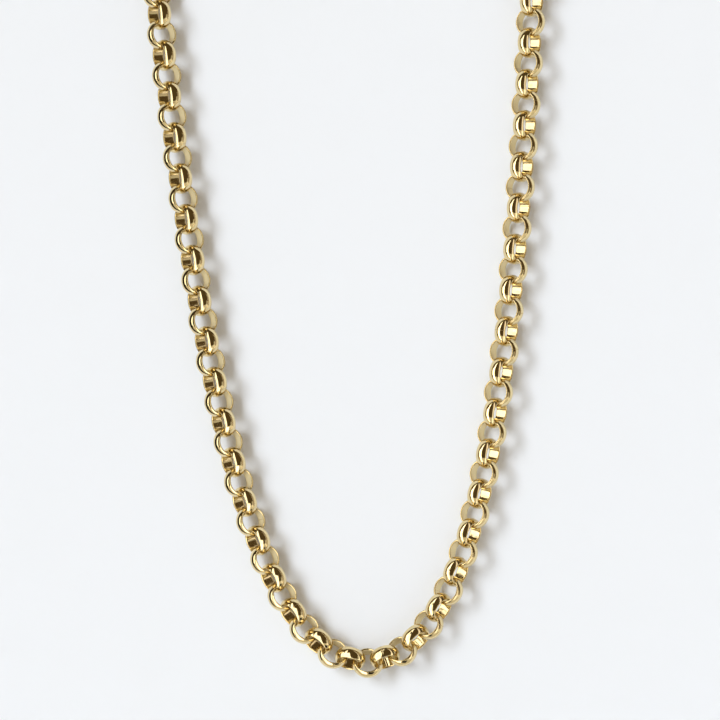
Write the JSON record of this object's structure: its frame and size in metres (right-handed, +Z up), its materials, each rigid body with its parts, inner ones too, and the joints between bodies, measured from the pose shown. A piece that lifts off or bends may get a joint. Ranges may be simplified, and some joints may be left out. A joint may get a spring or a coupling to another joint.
{
  "type": "rolo chain necklace",
  "caption": "Rolo chain necklace of round half-round-wire links, hanging in a narrow closed loop from a plain barrel clasp.",
  "frame": {"origin": "middle of the underside of the clasp at the top of the loop, where the necklace bears on the neck or hook that it hangs from", "axes": "+Z up along the loop's height, +X across the loop to the right seen from the front, +Y from the front to the back"},
  "size_m": [0.0812, 0.0056, 0.1968],
  "materials": {
    "gold_links": "polished, gold plated",
    "gold_clasp": "polished, gold plated"
  },
  "bodies": {
    "root": {"chain_left": "gold_links", "chain_right": "gold_links", "clasp": "gold_clasp"}
  },
  "joints": []
}
